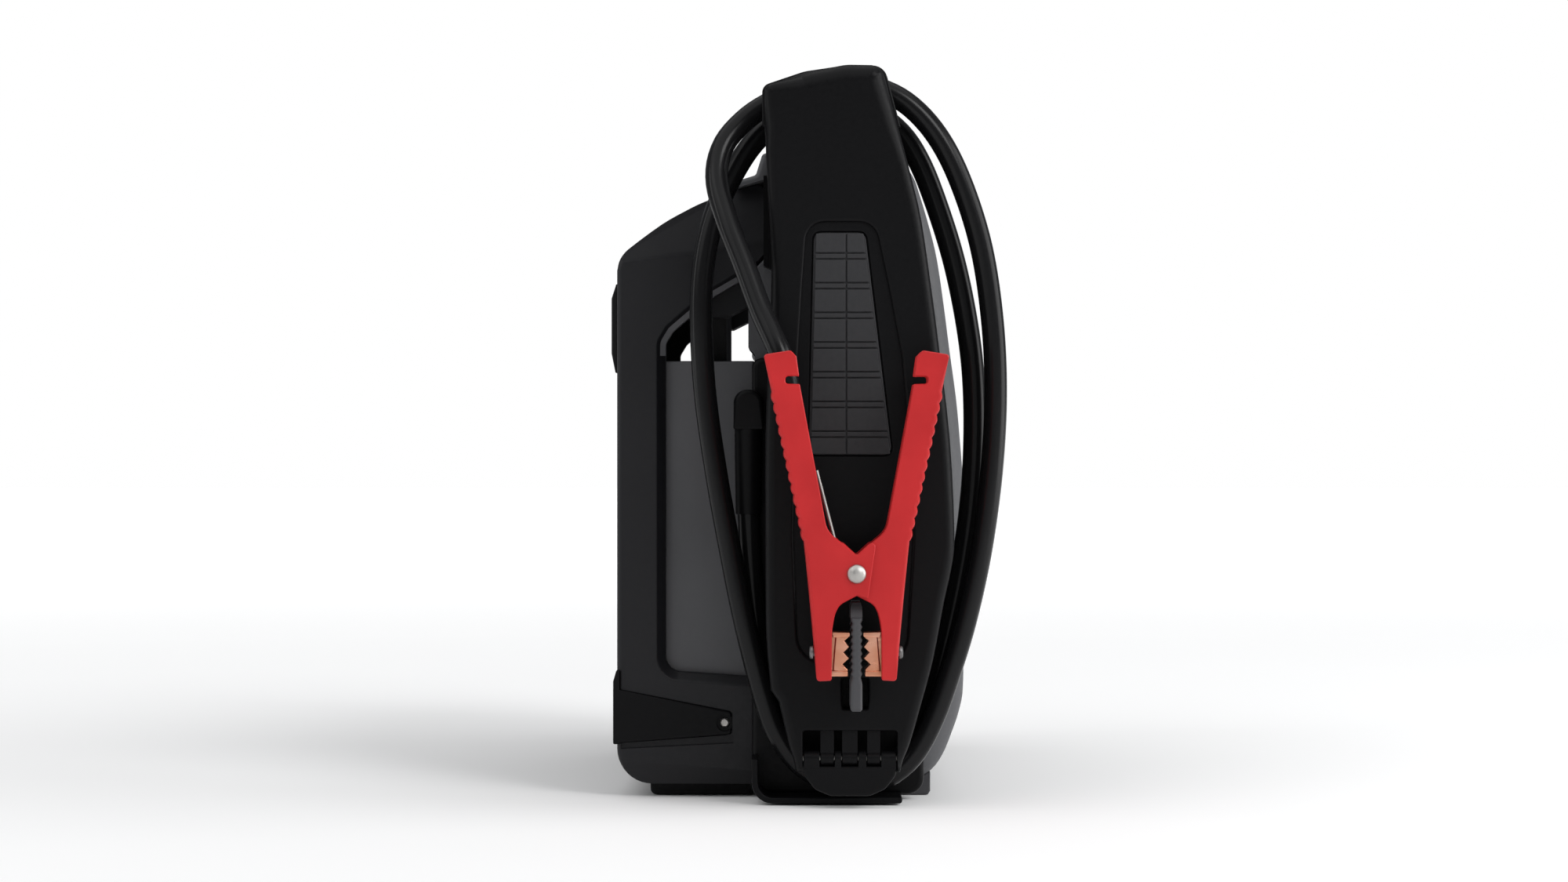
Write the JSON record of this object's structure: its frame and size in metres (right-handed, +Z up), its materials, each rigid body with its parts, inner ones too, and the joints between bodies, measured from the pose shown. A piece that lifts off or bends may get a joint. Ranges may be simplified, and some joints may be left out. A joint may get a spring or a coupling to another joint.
{
  "type": "jump starter pack",
  "caption": "Portable jump starter pack with a carry handle, cord-winding holsters on both ends, a wound battery cable and a spring clamp parked on a post.",
  "frame": {"origin": "middle of the footprint, on the surface that the pack stands on", "axes": "+Z up, +Y along the pack's length towards the end without a cable, +X towards the control side"},
  "size_m": [0.2102, 0.4747, 0.3869],
  "materials": {
    "black_plastic": "fine-grained moulded black plastic",
    "grey_plastic": "fine-grained moulded dark grey plastic",
    "black_rubber": "matte moulded black rubber",
    "cable_jacket": "smooth satin black cable jacket",
    "grey_rubber": "matte grey rubber",
    "red_plastic": "satin red coating",
    "copper": "copper-plated, slightly worn",
    "steel": "zinc-plated steel",
    "circuit_board": "green solder mask",
    "gauge_lens": "smoky clear plastic lens"
  },
  "bodies": {
    "root": {"battery": "grey_plastic", "battery_strap": "steel", "cable_crimp": "copper", "cable_gland_far": "black_plastic", "cable_gland_near": "black_plastic", "case_screw_1": "steel", "case_screw_2": "steel", "case_screw_3": "steel", "case_screw_4": "steel", "charge_port": "black_plastic", "clamp_arm_left": "red_plastic", "clamp_jaw_left": "copper", "clamp_post_far": "grey_plastic", "clamp_post_near": "grey_plastic", "clamp_rivet": "steel", "clamp_spring": "steel", "control_board": "circuit_board", "control_panel": "black_plastic", "corner_guard_far": "black_plastic", "corner_guard_near": "black_plastic", "dc_socket": "steel", "end_panel_far": "grey_plastic", "end_panel_near": "grey_plastic", "flap_pin_far": "steel", "flap_pin_near": "steel", "foot_front_far": "black_rubber", "foot_front_near": "black_rubber", "foot_rear_far": "black_rubber", "foot_rear_near": "black_rubber", "front_shell": "grey_plastic", "gauge_lens": "gauge_lens", "grip_pad_far": "grey_rubber", "grip_pad_near": "grey_rubber", "guard_screw_far": "steel", "guard_screw_near": "steel", "handle_bar": "black_plastic", "handle_grip": "grey_rubber", "holster_far": "black_plastic", "holster_near": "black_plastic", "jaw_bolt_left": "steel", "main_fuse": "black_plastic", "negative_lead": "black_rubber", "positive_cable": "cable_jacket", "positive_lead": "black_rubber", "rear_pad_far": "black_rubber", "rear_pad_near": "black_rubber", "rear_shell": "black_plastic"},
    "clamp_moving_arm": {"clamp_arm_right": "red_plastic", "clamp_jaw_right": "copper", "jaw_bolt_right": "steel"},
    "flap_near": {"cable_flap_near": "black_plastic"},
    "flap_far": {"cable_flap_far": "black_plastic"},
    "button": {"test_button": "red_plastic"},
    "rocker": {"power_switch": "black_plastic"},
    "outlet_cap": {"dc_socket_cap": "black_rubber"},
    "port_cover": {"charge_port_cover": "black_rubber"}
  },
  "joints": [
    {"name": "clamp_squeeze", "type": "hinge", "parent": "root", "child": "clamp_moving_arm", "pos_m": [0.0344, -0.225, 0.1233], "axis": [0, -1, 0], "range_deg": [0, 25], "stiffness_Nm_per_rad": 6, "springref_deg": -14.32, "deforming": ["clamp_spring"]},
    {"name": "flap_near_hinge", "type": "hinge", "parent": "root", "child": "flap_near", "pos_m": [0.0306, -0.1955, 0.026], "axis": [-1, 0, 0], "range_deg": [0, 90]},
    {"name": "flap_far_hinge", "type": "hinge", "parent": "root", "child": "flap_far", "pos_m": [0.0306, 0.1955, 0.026], "axis": [1, 0, 0], "range_deg": [0, 90]},
    {"name": "button_press", "type": "slide", "parent": "root", "child": "button", "axis": [-1, 0, 0], "range_m": [0, 0.001], "stiffness_N_per_m": 400, "springref_m": -0.001},
    {"name": "rocker_tilt", "type": "hinge", "parent": "root", "child": "rocker", "pos_m": [0.0915, -0.044, 0.103], "axis": [0, -1, 0], "range_deg": [0, 14]},
    {"name": "outlet_cap_hinge", "type": "hinge", "parent": "root", "child": "outlet_cap", "pos_m": [0.0955, 0.038, 0.117], "axis": [0, -1, 0], "range_deg": [0, 120]},
    {"name": "port_cover_hinge", "type": "hinge", "parent": "root", "child": "port_cover", "pos_m": [0.0955, 0.04, 0.1495], "axis": [0, -1, 0], "range_deg": [0, 120]}
  ]
}
